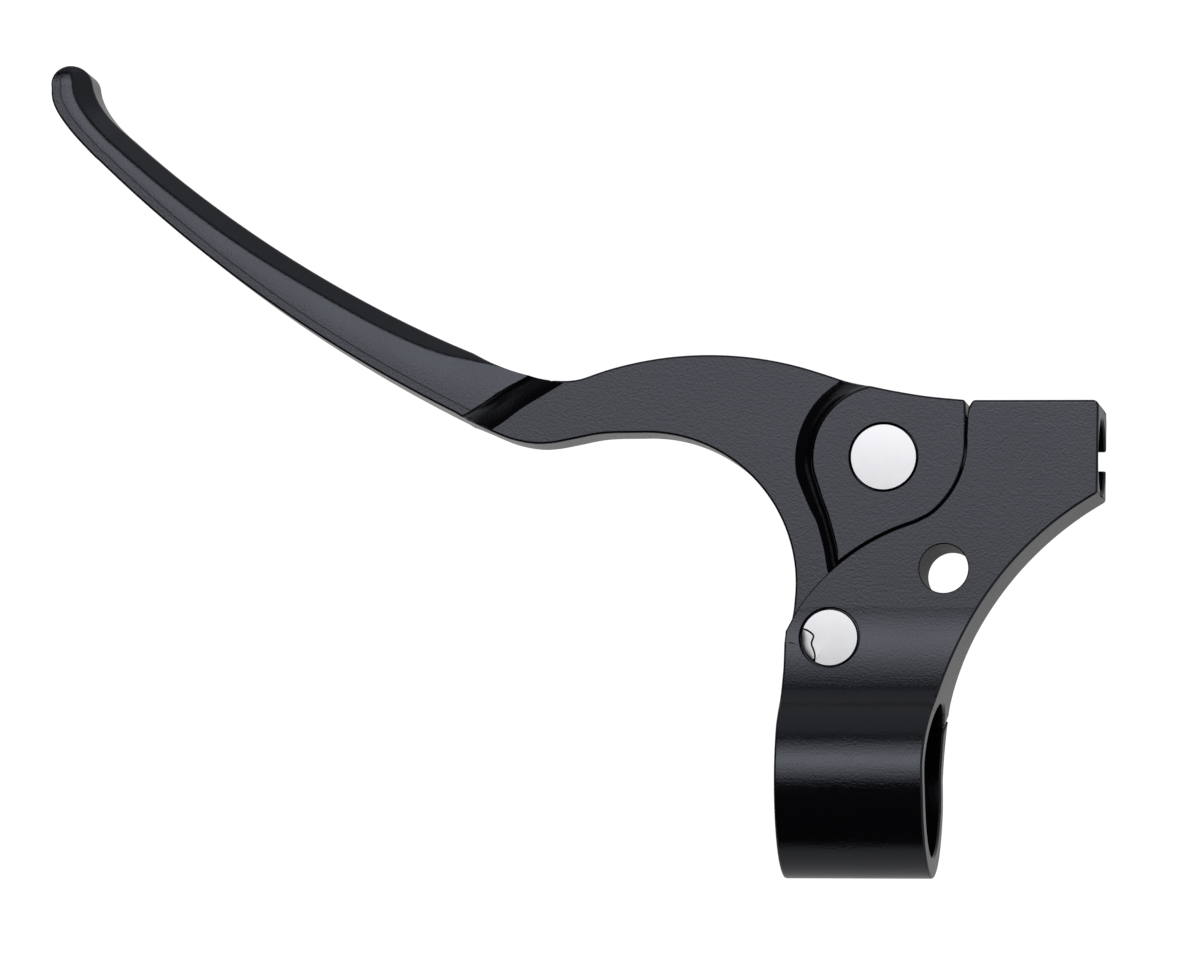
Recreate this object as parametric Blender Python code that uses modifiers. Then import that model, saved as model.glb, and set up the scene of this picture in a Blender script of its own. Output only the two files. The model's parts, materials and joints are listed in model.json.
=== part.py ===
# Clutch lever on its one-piece clamp perch, for a 25.4 mm handlebar, left-hand side.
# Origin: on the handlebar's centreline, in the middle of the clamp ring's width.
# +X runs inboard along the handlebar, +Y away from the rider, +Z up along the lever's pivot.
import math

import bmesh
import bpy
from mathutils import Matrix, Vector

MM = 0.001

# clamp ring and the plate that grows out of it
BAR_RADIUS = 12.7 * MM
RING_RADIUS = 16.2 * MM
RING_HALF_WIDTH = 12.3 * MM
PLATE_HALF = 7.2 * MM  # half the plate's thickness
FLANK_RADIUS = 33.0 * MM  # hollow blend from the plate's faces onto the ring
PLATE_TOP = 62.5 * MM
BOSS_END = 39.8 * MM
BILLET_HALF = 18.0 * MM  # half height of the blank, clear of the ring

# pivot
PIVOT = Vector((-4.4, 23.0, 0.0)) * MM
EAR_RADIUS = 7.5 * MM
TAIL_RADIUS = 7.3 * MM
PIN_SHANK = 3.97 * MM
PIN_HEAD = 4.76 * MM
PIN_HEAD_HEIGHT = 1.1 * MM
PIN_HEAD_RECESS = 5.2 * MM
PIN_TOP = 7.35 * MM
SPOT_FACE = 6.3 * MM  # flat ring of the plate that the retaining ring lies on
BUSH_RADIUS = 5.5 * MM
WASHER_RADIUS = 6.3 * MM
WASHER_THICKNESS = 0.7 * MM
WASHER_RECESS = 0.9 * MM

# lever
BODY_HALF = 4.5 * MM  # half thickness of the neck and the tail
ANCHOR = Vector((4.2, 53.0, 0.0)) * MM
CHEEK_RADIUS = 11.9 * MM
ANCHOR_HEAD = 5.556 * MM
ANCHOR_SHANK = 4.7625 * MM
ANCHOR_HEAD_HEIGHT = 2.2 * MM
CABLE_SLOT_HALF = 3.2 * MM
EYE_ROOM = 8.4 * MM  # the cable's eye turns in this radius round the anchor pin

# cable boss
CABLE_Y = 53.7 * MM
FERRULE_RADIUS = 6.35 * MM
FERRULE_DEPTH = 13.0 * MM
CABLE_RADIUS = 3.6 * MM
CABLE_SLIT_HALF = 1.6 * MM

# mirror hole
MIRROR_HOLE = Vector((14.4, 34.5, 0.0)) * MM
MIRROR_RADIUS = 4.05 * MM

# pinch clamp: u points out along the slit, v runs across it, along the screw
SLIT_ANGLE = math.radians(-45.0)
SLIT_HALF = 0.5 * MM
LUG_MIDDLE = 7.2 * MM  # along the bar, clear of the pivot pin's end
LUG_HALF_WIDTH = 4.4 * MM
LUG_REACH = 24.0 * MM
LUG_HEAD_SIDE = -6.5 * MM
LUG_THREAD_SIDE = 9.0 * MM
SCREW_AT = 19.5 * MM
SCREW_RADIUS = 2.5 * MM
SCREW_TIP = 7.4 * MM
SCREW_HEAD_RADIUS = 4.25 * MM
SCREW_HEAD_HEIGHT = 5.0 * MM
CLAMP_WASHER_RADIUS = 4.4 * MM
CLAMP_WASHER_THICKNESS = 1.0 * MM
HEX_RADIUS = 2.3 * MM
HEX_DEPTH = 2.6 * MM

# retaining rings
RING_THICKNESS = 0.9 * MM
RING_LIP = 1.5 * MM  # how far a ring stands out past its pin
GROOVE_DEPTH = 0.6 * MM

GAP = 0.2 * MM  # round fits
SEAT_GAP = 0.35 * MM  # between the lever's cheeks and the perch
POCKET_GAP = 0.5 * MM  # between the lever's tail and the pocket's walls
REST_GAP = 0.3 * MM  # between faces that lie on each other

# the perch's upper edge, which the cheeks close on, from the ear to the notch
SEAT = [(-5.9, 32.3), (-2.1, 36.1), (4.2, 39.9), (11.1, 42.8), (15.3, 46.7), (17.5, 52.4), (18.1, 58.0)]
# the perch's edge from the boss down to the ring's inboard end
NECK = [(39.8, 47.0), (34.7, 43.8), (30.4, 40.2), (26.4, 36.2), (23.8, 32.6), (19.5, 27.3), (16.4, 20.6),
        (14.0, 13.4), (12.6, 6.0), (12.3, -1.0)]
# the lever's edges: along the front of the neck, under the neck, and inside the perch
TOP_EDGE = [(-49.5, 66.1), (-43.4, 67.5), (-38.6, 69.0), (-33.0, 70.0), (-26.9, 70.3), (-19.0, 69.8),
            (-9.2, 68.1), (-2.0, 65.8), (6.5, 63.9), (17.6, 62.5)]
UNDER_EDGE = [(-10.6, 29.5), (-10.5, 32.8), (-11.3, 38.9), (-13.2, 43.4), (-17.4, 49.5), (-21.7, 53.1),
              (-25.9, 55.4), (-31.5, 57.4), (-38.1, 57.7), (-44.5, 57.1), (-49.3, 56.1), (-55.0, 55.6)]
TAIL_EDGE = [(3.8, 27.7), (5.5, 33.6), (8.7, 39.3)]
CHEEK_EDGE = [(-7.3, 49.8), (-6.1, 46.2), (-5.0, 43.2), (-3.7, 38.5)]
HEAD_CORNER = (17.8, 61.6)
# the step where the flat neck meets the deeper blade
STEP_FROM = Vector((-64.0, 58.6, 0.0)) * MM
STEP_TO = Vector((-52.4, 65.9, 0.0)) * MM

# the blade's spine: x, y, width across, height above the middle plane
BLADE = [(-54.0, 61.0, 11.4, 8.4), (-60.8, 62.9, 10.4, 8.4), (-68.6, 66.6, 10.1, 8.4), (-81.7, 73.3, 9.3, 8.3),
         (-92.7, 79.7, 8.4, 8.2), (-104.7, 88.0, 7.5, 7.9), (-114.8, 95.6, 6.9, 7.6), (-124.5, 103.8, 6.5, 7.2),
         (-129.3, 108.4, 6.4, 7.0), (-132.6, 112.6, 7.6, 6.8), (-133.6, 115.4, 7.4, 6.7)]
TIP_RADIUS = 3.9 * MM
GRIP_ROUNDING = 1.6 * MM

parts = None
cutters = None


def mm(points):
    return [(x * MM, y * MM) for x, y in points]


def arc(centre, radius, start, end, steps):
    """Points on a circle from one angle to the other, in degrees."""
    points = []
    for step in range(steps + 1):
        angle = math.radians(start + (end - start) * step / steps)
        points.append((centre[0] + radius * math.cos(angle), centre[1] + radius * math.sin(angle)))
    return points


def flow(points, steps=4):
    """A smooth curve through the points, keeping both ends."""
    last = len(points) - 1
    ends = [Vector(points[0]) * 2 - Vector(points[1]), Vector(points[last]) * 2 - Vector(points[last - 1])]
    knots = [ends[0]] + [Vector(point) for point in points] + [ends[1]]
    smooth = []
    for index in range(last):
        a, b, c, d = knots[index:index + 4]
        for step in range(steps):
            t = step / steps
            bend = (2 * a - 5 * b + 4 * c - d) * t * t + (3 * b - a - 3 * c + d) * t ** 3
            smooth.append(tuple(b + 0.5 * ((c - a) * t + bend)))
    smooth.append(tuple(points[last]))
    return smooth


def beside(points, distance):
    """The line that runs at this distance to the left of the points' own direction."""
    moved = []
    for index, point in enumerate(points):
        before = Vector(points[max(index - 1, 0)])
        after = Vector(points[min(index + 1, len(points) - 1)])
        along = (after - before).normalized()
        moved.append((point[0] - along.y * distance, point[1] + along.x * distance))
    return moved


def clear_scene():
    for item in list(bpy.data.objects):
        bpy.data.objects.remove(item, do_unlink=True)


def new_collection(name, hidden=False):
    made = bpy.data.collections.new(name)
    bpy.context.scene.collection.children.link(made)
    made.hide_render = hidden
    return made


def finish_of(name, colour, roughness, metallic):
    made = bpy.data.materials.new(name)
    made.use_nodes = True
    shader = made.node_tree.nodes["Principled BSDF"]
    shader.inputs["Base Color"].default_value = (*colour, 1.0)
    shader.inputs["Roughness"].default_value = roughness
    shader.inputs["Metallic"].default_value = metallic
    return made


def object_of(name, bm, cutter=False):
    """An object in the parts' or the cutters' collection, from a closed bmesh."""
    bmesh.ops.recalc_face_normals(bm, faces=bm.faces)
    mesh = bpy.data.meshes.new(name)
    bm.to_mesh(mesh)
    bm.free()
    made = bpy.data.objects.new(name, mesh)
    (cutters if cutter else parts).objects.link(made)
    if cutter:
        made.hide_render = True
        made.display_type = "WIRE"
    return made


def plate(name, outline, low, high, turn=None, cutter=False):
    """A flat outline filled between two heights, then turned."""
    curve = bpy.data.curves.new(name, "CURVE")
    curve.dimensions = "2D"
    curve.fill_mode = "BOTH"
    curve.extrude = (high - low) / 2
    spline = curve.splines.new("POLY")
    spline.points.add(len(outline) - 1)
    for point, (x, y) in zip(spline.points, outline):
        point.co = (x, y, 0.0, 1.0)
    spline.use_cyclic_u = True
    drawn = bpy.data.objects.new(name + "_outline", curve)
    bpy.context.scene.collection.objects.link(drawn)
    graph = bpy.context.evaluated_depsgraph_get()
    mesh = bpy.data.meshes.new_from_object(drawn.evaluated_get(graph))
    bm = bmesh.new()
    bm.from_mesh(mesh)
    bpy.data.objects.remove(drawn)
    bpy.data.meshes.remove(mesh)
    bmesh.ops.remove_doubles(bm, verts=bm.verts, dist=0.001 * MM)
    bmesh.ops.translate(bm, verts=bm.verts, vec=(0.0, 0.0, (low + high) / 2))
    if turn:
        bmesh.ops.transform(bm, verts=bm.verts, matrix=turn)
    return object_of(name, bm, cutter)


def rod(name, centre, axis, radius, start, end, sides=36, cutter=False):
    """A cylinder round the axis through the centre, between two places along it."""
    bm = bmesh.new()
    bmesh.ops.create_cone(bm, cap_ends=True, segments=sides, radius1=radius, radius2=radius, depth=end - start)
    turn = Vector(axis).to_track_quat("Z", "Y").to_matrix().to_4x4()
    middle = Matrix.Translation(Vector(centre) + Vector(axis).normalized() * (start + end) / 2)
    bmesh.ops.transform(bm, verts=bm.verts, matrix=middle @ turn)
    return object_of(name, bm, cutter)


def turned(name, centre, profile, axis=(0.0, 0.0, 1.0), sides=36):
    """A turned piece: (radius, height) down its outer side and back up its bore, spun round the axis."""
    bm = bmesh.new()
    corners = [bm.verts.new((radius, 0.0, height)) for radius, height in profile]
    hollow = min(radius for radius, _ in profile) > 0.0
    for first, second in zip(corners, corners[1:]):
        bm.edges.new((first, second))
    if hollow:
        bm.edges.new((corners[-1], corners[0]))
    mesh = bpy.data.meshes.new(name)
    bm.to_mesh(mesh)
    bm.free()
    made = bpy.data.objects.new(name, mesh)
    parts.objects.link(made)
    spin = made.modifiers.new("turning", "SCREW")
    spin.steps = sides
    spin.render_steps = sides
    spin.use_merge_vertices = True
    spin.merge_threshold = 0.00001
    made.location = centre
    made.rotation_euler = Vector(axis).to_track_quat("Z", "Y").to_euler()
    return made


def boolean(piece, other, operation="DIFFERENCE"):
    step = piece.modifiers.new(operation.lower() + " " + other.name, "BOOLEAN")
    step.operation = operation
    step.object = other
    step.solver = "EXACT"


def across_slit(u, v, x=0.0):
    """A point by its distance out along the slit, its distance across it, and its place along the bar."""
    out = Vector((0.0, math.cos(SLIT_ANGLE), math.sin(SLIT_ANGLE)))
    over = Vector((0.0, -math.sin(SLIT_ANGLE), math.cos(SLIT_ANGLE)))
    return out * u + over * v + Vector((x, 0.0, 0.0))


def slit_block(name, u_low, u_high, v_low, v_high, middle, half_width, bevel=0.0):
    """A box squared up to the slit."""
    bm = bmesh.new()
    bmesh.ops.create_cube(bm, size=1.0)
    sides = Matrix.Diagonal((2 * half_width, u_high - u_low, v_high - v_low, 1.0))
    turn = Matrix.Rotation(SLIT_ANGLE, 4, "X")
    place = Matrix.Translation(across_slit((u_low + u_high) / 2, (v_low + v_high) / 2, middle))
    bmesh.ops.transform(bm, verts=bm.verts, matrix=place @ turn @ sides)
    if bevel:
        bmesh.ops.bevel(bm, geom=bm.edges, offset=bevel, segments=3, profile=0.5, affect="EDGES")
    return object_of(name, bm, cutter=True)


def seat_line():
    ear_end = arc(PIVOT, EAR_RADIUS, 180, 137, 8)
    return ear_end[:-1] + flow([ear_end[-1]] + mm(SEAT))


def perch_outline():
    """The perch seen along the pivot, clockwise from the ring's outboard end."""
    blank_end = -BILLET_HALF
    ear = flow([(-RING_HALF_WIDTH, 9.0 * MM), (-11.9 * MM, 16.0 * MM), seat_line()[0]])
    boss = [(18.3 * MM, 61.3 * MM), (18.9 * MM, PLATE_TOP), (BOSS_END - 0.9 * MM, PLATE_TOP)]
    boss += [(BOSS_END - 0.2 * MM, PLATE_TOP - 0.3 * MM), (BOSS_END, PLATE_TOP - 1.0 * MM)]
    return ([(-RING_HALF_WIDTH, blank_end)] + ear[:-1] + seat_line() + boss + flow(mm(NECK))
            + [(RING_HALF_WIDTH, blank_end)])


def perch_flanks():
    """The perch seen along the bar: ring, hollow flanks and plate, as (y, z)."""
    reach = RING_RADIUS + FLANK_RADIUS
    rise = PLATE_HALF + FLANK_RADIUS
    run = math.sqrt(reach ** 2 - rise ** 2)
    blend = math.degrees(math.atan2(rise, run))
    ring = arc((0.0, 0.0), RING_RADIUS, -blend, -360 + blend, 48)
    upper = arc((run, rise), FLANK_RADIUS, 180 + blend, 270, 12)
    front = arc((PLATE_TOP - 1.5 * MM, PLATE_HALF - 1.5 * MM), 1.5 * MM, 90, 0, 4)
    back = arc((PLATE_TOP - 3.0 * MM, 3.0 * MM - PLATE_HALF), 3.0 * MM, 0, -90, 6)
    lower = arc((run, -rise), FLANK_RADIUS, 90, 180 - blend, 12)
    return ring + upper[1:] + front + back + lower[:-1]


def pocket_outline():
    """The slot between the ears, open towards the blade so that the lever can swing."""
    floor = PIVOT.y - TAIL_RADIUS - POCKET_GAP
    round_tail = arc(PIVOT, TAIL_RADIUS + POCKET_GAP, -90, 0, 12)
    wall = beside(flow([(PIVOT.x + TAIL_RADIUS, PIVOT.y)] + mm(TAIL_EDGE) + mm([SEAT[3]])), -POCKET_GAP)
    open_side = -20.0 * MM
    return [(open_side, floor)] + round_tail[:-1] + wall + mm([(12.5, 46.0)]) + [(open_side, 46.0 * MM)]


def make_perch():
    perch = plate("perch", perch_outline(), -BILLET_HALF, BILLET_HALF)
    along_bar = Matrix(((0, 0, 1, 0), (1, 0, 0, 0), (0, 1, 0, 0), (0, 0, 0, 1)))
    flanks = plate("perch_flanks", perch_flanks(), -20.0 * MM, 50.0 * MM, along_bar, cutter=True)
    boolean(perch, flanks, "INTERSECT")
    lug = slit_block("pinch_lug", 10.0 * MM, LUG_REACH, LUG_HEAD_SIDE, LUG_THREAD_SIDE, LUG_MIDDLE,
                     LUG_HALF_WIDTH, 1.0 * MM)
    boolean(perch, lug, "UNION")
    beyond = 60.0 * MM
    x_axis = (1.0, 0.0, 0.0)
    z_axis = (0.0, 0.0, 1.0)
    cable_line = (0.0, CABLE_Y, 0.0)
    over = across_slit(0.0, 1.0)
    screw_line = across_slit(SCREW_AT, 0.0, LUG_MIDDLE)
    ear_top = PIN_TOP - PIN_HEAD_HEIGHT - GAP
    slit_end = BOSS_END + 2.0 * MM
    cable_slit = [(12.0 * MM, CABLE_Y - CABLE_SLIT_HALF), (slit_end, CABLE_Y - CABLE_SLIT_HALF),
                  (slit_end, CABLE_Y + CABLE_SLIT_HALF), (12.0 * MM, CABLE_Y + CABLE_SLIT_HALF)]
    for cut in (
        rod("bar_bore", (0, 0, 0), x_axis, BAR_RADIUS, -beyond, beyond, 72, cutter=True),
        plate("tail_pocket", pocket_outline(), -BODY_HALF - 0.25 * MM, BODY_HALF + 0.25 * MM, cutter=True),
        rod("pivot_hole", PIVOT, z_axis, PIN_SHANK + GAP, -beyond, beyond, cutter=True),
        rod("pivot_head_recess", PIVOT, z_axis, PIN_HEAD_RECESS, ear_top, beyond, cutter=True),
        rod("ring_spot_face", PIVOT, z_axis, SPOT_FACE, -beyond, -PLATE_HALF, cutter=True),
        rod("mirror_hole", MIRROR_HOLE, z_axis, MIRROR_RADIUS, -beyond, beyond, 40, cutter=True),
        rod("ferrule_bore", cable_line, x_axis, FERRULE_RADIUS, BOSS_END - FERRULE_DEPTH, beyond, cutter=True),
        rod("cable_hole", cable_line, x_axis, CABLE_RADIUS, 10.0 * MM, beyond, 32, cutter=True),
        plate("cable_slit", cable_slit, -12.0 * MM, 0.0, cutter=True),
        slit_block("ring_slit", 11.0 * MM, 30.0 * MM, -SLIT_HALF, SLIT_HALF, 0.0, 20.0 * MM),
        rod("screw_hole", screw_line, over, SCREW_RADIUS + REST_GAP, -20.0 * MM, SCREW_TIP + 0.4 * MM, 32,
            cutter=True),
    ):
        boolean(perch, cut)
    return perch


def body_outline():
    """Neck, head and tail between the two cheeks, clockwise from the blade."""
    tail = arc(PIVOT, TAIL_RADIUS, 0, -170, 24)
    seat = beside(flow(mm(SEAT)), SEAT_GAP)
    bearing = [point for point in seat if point[0] > 12.0 * MM]
    in_perch = flow([tail[0]] + mm(TAIL_EDGE) + [bearing[0]])
    tongue = mm([(-66.0, 62.5), (-64.0, 66.6)])
    head_end = mm([HEAD_CORNER])
    return (tongue + flow(mm([(-56.0, 66.2)] + TOP_EDGE))[:-1] + head_end + bearing[::-1]
            + in_perch[::-1][1:-1] + tail + flow(mm(UNDER_EDGE)))


def cheek_outline():
    """The raised cheeks round the anchor pin, clockwise from where they leave the front edge."""
    seat = beside(flow(mm(SEAT)), SEAT_GAP)
    bearing = [point for point in seat if point[0] > -1.5 * MM]
    front = [point for point in flow(mm(TOP_EDGE)) if 3.5 * MM < point[0] < 18.0 * MM]
    left = arc(ANCHOR, CHEEK_RADIUS, 188, 102, 16)
    tip = mm([(-3.1, 35.8)])
    return flow(mm(CHEEK_EDGE))[::-1] + left + front + mm([HEAD_CORNER]) + bearing[::-1] + tip


def blade_section(width, height, crown, flat):
    """(across, up) round one section: flat grip side, flat upper and lower faces, crowned front."""
    half = width / 2
    edge = min(GRIP_ROUNDING, half * 0.6)
    front = half - crown
    points = arc((-half + edge, height - edge), edge, 180, 90, 3)
    points += [(front * flat, height)]
    bow = []
    for step in range(1, 6):
        up = height * math.cos(math.pi / 2 * step / 6)
        bow.append((half - crown * (up / height) ** 2, up))
    upper = points + [(front, height * 0.998)] + bow
    lower = [(across, -up) for across, up in reversed(upper)]
    return upper + [(half, 0.0)] + lower


def make_blade():
    spine = flow([(x * MM, y * MM, w * MM, h * MM) for x, y, w, h in BLADE], 2)
    tip = Vector(spine[-1][:2])
    along = (tip - Vector(spine[-2][:2])).normalized()
    width, height = spine[-1][2:]
    for angle in (20, 38, 54, 68, 79):
        reach = tip + along * TIP_RADIUS * math.sin(math.radians(angle))
        shrink = math.cos(math.radians(angle))
        spine.append((reach.x, reach.y, width * shrink, height * (0.72 + 0.28 * shrink)))
    bm = bmesh.new()
    rings = []
    for index, (x, y, width, height) in enumerate(spine):
        before = Vector(spine[max(index - 1, 0)][:2])
        after = Vector(spine[min(index + 1, len(spine) - 1)][:2])
        run = (after - before).normalized()
        across = Vector((-run.y, run.x)) * (-1 if run.x < 0 else 1)
        share = index / (len(spine) - 1)
        crown = width * (0.24 + 0.22 * share)
        ring = []
        for side, up in blade_section(width, height, crown, 0.96):
            ring.append(bm.verts.new((x + across.x * side, y + across.y * side, up)))
        rings.append(ring)
    count = len(rings[0])
    for first, second in zip(rings, rings[1:]):
        for index in range(count):
            after = (index + 1) % count
            bm.faces.new((first[index], first[after], second[after], second[index]))
    bm.faces.new(rings[0])
    bm.faces.new(rings[-1])
    return object_of("blade", bm, cutter=True)


def step_cutter(name, low, high):
    """Clears the blade's extra depth from the neck, on the inboard side of the step."""
    run = (STEP_TO - STEP_FROM).normalized()
    start = STEP_FROM - run * 20.0 * MM
    end = STEP_TO + run * 20.0 * MM
    inboard = Vector((run.y, -run.x, 0.0)) * 30.0 * MM
    corners = [start, end, end + inboard, start + inboard]
    return plate(name, [(corner.x, corner.y) for corner in corners], low, high, cutter=True)


def make_lever():
    lever = plate("lever", body_outline(), -BODY_HALF, BODY_HALF)
    blade = make_blade()
    clear = 12.0 * MM
    boolean(blade, step_cutter("step_upper", BODY_HALF - 0.2 * MM, clear))
    boolean(blade, step_cutter("step_lower", -clear, 0.2 * MM - BODY_HALF))
    boolean(lever, blade, "UNION")
    cheeks = plate("cheeks", cheek_outline(), -PLATE_HALF, PLATE_HALF, cutter=True)
    boolean(lever, cheeks, "UNION")
    z_axis = (0.0, 0.0, 1.0)
    beyond = 20.0 * MM
    head_floor = PLATE_HALF - ANCHOR_HEAD_HEIGHT - REST_GAP
    mouth = 30.0 * MM
    eye_room = arc(ANCHOR, EYE_ROOM, 90, 270, 24) + [(mouth, ANCHOR.y - EYE_ROOM), (mouth, ANCHOR.y + EYE_ROOM)]
    for cut in (
        plate("cable_eye_slot", eye_room, -CABLE_SLOT_HALF, CABLE_SLOT_HALF, cutter=True),
        rod("anchor_hole", ANCHOR, z_axis, ANCHOR_SHANK + GAP, -beyond, beyond, cutter=True),
        rod("anchor_head_recess", ANCHOR, z_axis, ANCHOR_HEAD + GAP, head_floor, beyond, cutter=True),
        rod("bush_hole", PIVOT, z_axis, BUSH_RADIUS + GAP, -beyond, beyond, cutter=True),
        rod("upper_washer_recess", PIVOT, z_axis, WASHER_RADIUS + GAP, BODY_HALF - WASHER_RECESS, beyond,
            cutter=True),
        rod("lower_washer_recess", PIVOT, z_axis, WASHER_RADIUS + GAP, -beyond, WASHER_RECESS - BODY_HALF,
            cutter=True),
    ):
        boolean(lever, cut)
    return lever


def headed_pin(name, centre, head, shank, head_height, top):
    """A flush-headed clevis pin with a groove for a retaining ring past the far face."""
    ring_at = -PLATE_HALF - REST_GAP
    soft = 0.2 * MM
    profile = [
        (0.0, top), (head - soft, top), (head, top - soft), (head, top - head_height), (shank, top - head_height),
        (shank, ring_at + 0.15 * MM), (shank - GROOVE_DEPTH, ring_at + 0.15 * MM),
        (shank - GROOVE_DEPTH, ring_at - RING_THICKNESS - 0.15 * MM), (shank, ring_at - RING_THICKNESS - 0.15 * MM),
        (shank, ring_at - RING_THICKNESS - 0.9 * MM), (shank - 0.4 * MM, ring_at - RING_THICKNESS - 1.3 * MM),
        (0.0, ring_at - RING_THICKNESS - 1.3 * MM),
    ]
    return turned(name, centre, profile)


def retaining_ring(name, centre, shank):
    """An open snap ring in the pin's groove."""
    top = -PLATE_HALF - REST_GAP
    inner = shank - GROOVE_DEPTH + GAP
    outer = shank + RING_LIP
    profile = [(outer, top), (outer, top - RING_THICKNESS), (inner, top - RING_THICKNESS), (inner, top)]
    ring = turned(name, centre, profile)
    half = 1.3 * MM
    below = centre.y - 12.0 * MM
    mouth = [(centre.x - half, below), (centre.x + half, below), (centre.x + half, centre.y),
             (centre.x - half, centre.y)]
    boolean(ring, plate(name + "_mouth", mouth, -14.0 * MM, -5.0 * MM, cutter=True))
    return ring


def flat_ring(name, centre, inner, outer, low, high, axis=(0.0, 0.0, 1.0)):
    profile = [(outer, high), (outer, low), (inner, low), (inner, high)]
    return turned(name, centre, profile, axis)


def make_clamp_screw():
    """Socket head screw: its axis runs across the slit, its head below the lug."""
    over = across_slit(0.0, 1.0)
    under_head = LUG_HEAD_SIDE - REST_GAP * 2 - CLAMP_WASHER_THICKNESS
    soft = 0.4 * MM
    head_end = under_head - SCREW_HEAD_HEIGHT
    profile = [
        (0.0, SCREW_TIP), (SCREW_RADIUS - soft, SCREW_TIP), (SCREW_RADIUS, SCREW_TIP - soft),
        (SCREW_RADIUS, under_head), (SCREW_HEAD_RADIUS, under_head), (SCREW_HEAD_RADIUS, head_end + soft),
        (SCREW_HEAD_RADIUS - soft, head_end), (0.0, head_end),
    ]
    screw = turned("clamp_screw", across_slit(SCREW_AT, 0.0, LUG_MIDDLE), profile, over, 32)
    socket = rod("hex_socket", across_slit(SCREW_AT, 0.0, LUG_MIDDLE), over, HEX_RADIUS, head_end - 1.0 * MM,
                 head_end + HEX_DEPTH, 6, cutter=True)
    boolean(screw, socket)
    washer = flat_ring("clamp_washer", across_slit(SCREW_AT, 0.0, LUG_MIDDLE), SCREW_RADIUS + REST_GAP, CLAMP_WASHER_RADIUS,
                       under_head + REST_GAP, LUG_HEAD_SIDE - REST_GAP, over)
    return screw, washer


def main():
    global parts, cutters
    clear_scene()
    parts = new_collection("clutch_lever")
    cutters = new_collection("cutters", hidden=True)
    black = finish_of("black_anodised", (0.018, 0.018, 0.021), 0.42, 0.6)
    steel = finish_of("polished_steel", (0.78, 0.78, 0.79), 0.12, 1.0)
    bronze = finish_of("bearing_bronze", (0.48, 0.30, 0.13), 0.35, 1.0)
    spring = finish_of("spring_steel", (0.10, 0.10, 0.11), 0.35, 1.0)
    zinc = finish_of("zinc_plated_steel", (0.55, 0.55, 0.56), 0.3, 1.0)

    perch = make_perch()
    lever = make_lever()
    pivot_pin = headed_pin("pivot_pin", PIVOT, PIN_HEAD, PIN_SHANK, PIN_HEAD_HEIGHT, PIN_TOP)
    anchor_pin = headed_pin("anchor_pin", ANCHOR, ANCHOR_HEAD, ANCHOR_SHANK, ANCHOR_HEAD_HEIGHT,
                            PLATE_HALF - 0.05 * MM)
    pivot_ring = retaining_ring("pivot_retaining_ring", PIVOT, PIN_SHANK)
    anchor_ring = retaining_ring("anchor_retaining_ring", ANCHOR, ANCHOR_SHANK)
    bush_half = BODY_HALF - WASHER_RECESS - 0.1 * MM
    bush = flat_ring("pivot_bush", PIVOT, PIN_SHANK + GAP, BUSH_RADIUS, -bush_half, bush_half)
    washer_low = BODY_HALF - WASHER_THICKNESS
    upper = flat_ring("upper_thrust_washer", PIVOT, PIN_SHANK + GAP, WASHER_RADIUS, washer_low, BODY_HALF)
    lower = flat_ring("lower_thrust_washer", PIVOT, PIN_SHANK + GAP, WASHER_RADIUS, -BODY_HALF, -washer_low)
    screw, clamp_washer = make_clamp_screw()
    for pieces, finish in (
        ((perch, lever), black),
        ((pivot_pin, anchor_pin), steel),
        ((bush, upper, lower), bronze),
        ((pivot_ring, anchor_ring), spring),
        ((screw, clamp_washer), zinc),
    ):
        for piece in pieces:
            piece.data.materials.append(finish)


main()
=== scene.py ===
import json
import math

import bmesh
import bpy
from mathutils import Matrix, Vector


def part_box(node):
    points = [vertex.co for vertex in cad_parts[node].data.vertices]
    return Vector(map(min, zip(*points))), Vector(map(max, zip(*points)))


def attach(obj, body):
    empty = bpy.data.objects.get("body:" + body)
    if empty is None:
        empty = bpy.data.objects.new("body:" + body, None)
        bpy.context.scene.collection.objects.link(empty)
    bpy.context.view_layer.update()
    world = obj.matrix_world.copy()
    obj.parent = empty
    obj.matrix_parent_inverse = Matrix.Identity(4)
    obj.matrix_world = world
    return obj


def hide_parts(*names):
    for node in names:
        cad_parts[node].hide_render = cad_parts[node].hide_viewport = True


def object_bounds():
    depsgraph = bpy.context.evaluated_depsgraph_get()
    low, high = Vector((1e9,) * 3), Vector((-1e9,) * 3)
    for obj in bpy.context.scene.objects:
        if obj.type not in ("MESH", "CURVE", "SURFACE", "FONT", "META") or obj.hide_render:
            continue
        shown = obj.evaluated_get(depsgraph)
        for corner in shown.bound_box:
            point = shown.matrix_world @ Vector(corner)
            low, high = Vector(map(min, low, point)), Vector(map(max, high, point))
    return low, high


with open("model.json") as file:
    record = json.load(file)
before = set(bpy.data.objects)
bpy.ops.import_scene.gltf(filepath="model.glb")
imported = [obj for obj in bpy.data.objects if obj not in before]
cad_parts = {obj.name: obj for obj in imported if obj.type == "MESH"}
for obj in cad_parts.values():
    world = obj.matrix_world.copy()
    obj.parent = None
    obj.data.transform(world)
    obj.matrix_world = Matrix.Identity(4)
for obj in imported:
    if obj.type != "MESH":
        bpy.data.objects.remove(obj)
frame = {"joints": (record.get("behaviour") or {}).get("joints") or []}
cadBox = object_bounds()

mm = 0.001
xAxis = Vector((1, 0, 0))
zAxis = Vector((0, 0, 1))
joints = {joint["name"]: Vector(joint["pos_m"]) for joint in frame["joints"]}
pivot = joints["lever_pivot"]
anchor = joints["anchor_swivel"]


def say(stage):
    print("clutch lever:", stage)


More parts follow.
